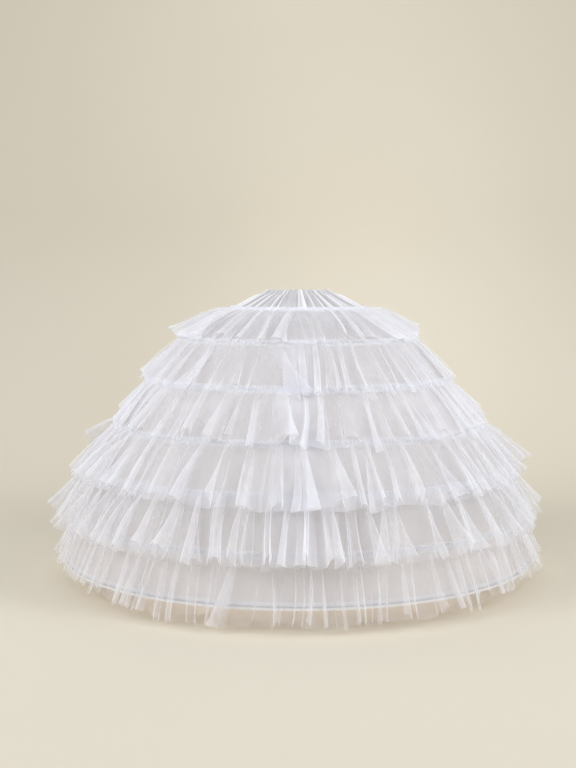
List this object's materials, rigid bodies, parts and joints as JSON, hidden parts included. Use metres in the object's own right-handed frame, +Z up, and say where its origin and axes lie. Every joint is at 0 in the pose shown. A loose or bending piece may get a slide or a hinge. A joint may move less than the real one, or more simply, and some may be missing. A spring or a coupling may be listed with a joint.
{
  "type": "crinoline petticoat",
  "caption": "Floor-length hooped petticoat: a domed cloth base held out by sprung hoops and covered by tiers of gathered tulle, worn from an elastic waistband under a full gown.",
  "frame": {"origin": "centre of the waist opening, at the waistband's mid height", "axes": "+Z up along the waist opening, -Y the front, +Y the centre back where the hoops join"},
  "size_m": [2.0441, 2.0442, 1.1025],
  "materials": {
    "base_cloth": "white polyester taffeta, soft sheen",
    "band_cloth": "white gathered cotton",
    "elastic": "white woven elastic",
    "casing_tape": "white woven tape, stitched along both edges",
    "hoop_coat": "pale grey plastic coat on flat spring steel",
    "joiner_steel": "crimped sleeve",
    "tulle": "stiff sheer white net"
  },
  "bodies": {
    "root": {"waistband_casing": "band_cloth", "waist_elastic": "elastic", "yoke_panel": "base_cloth", "skirt_tier_1": "base_cloth", "hoop_casing_1": "casing_tape", "steel_hoop_1": "hoop_coat", "hoop_joiner_1": "joiner_steel", "tulle_ruffle_1": "tulle", "skirt_tier_2": "base_cloth", "hoop_casing_2": "casing_tape", "steel_hoop_2": "hoop_coat", "hoop_joiner_2": "joiner_steel", "tulle_ruffle_2": "tulle", "skirt_tier_3": "base_cloth", "hoop_casing_3": "casing_tape", "steel_hoop_3": "hoop_coat", "hoop_joiner_3": "joiner_steel", "tulle_ruffle_3": "tulle", "skirt_tier_4": "base_cloth", "hoop_casing_4": "casing_tape", "steel_hoop_4": "hoop_coat", "hoop_joiner_4": "joiner_steel", "tulle_ruffle_4": "tulle", "skirt_tier_5": "base_cloth", "hoop_casing_5": "casing_tape", "steel_hoop_5": "hoop_coat", "hoop_joiner_5": "joiner_steel", "tulle_ruffle_5": "tulle", "skirt_tier_6": "base_cloth", "hoop_casing_6": "casing_tape", "steel_hoop_6": "hoop_coat", "hoop_joiner_6": "joiner_steel", "tulle_ruffle_6": "tulle"}
  },
  "joints": []
}
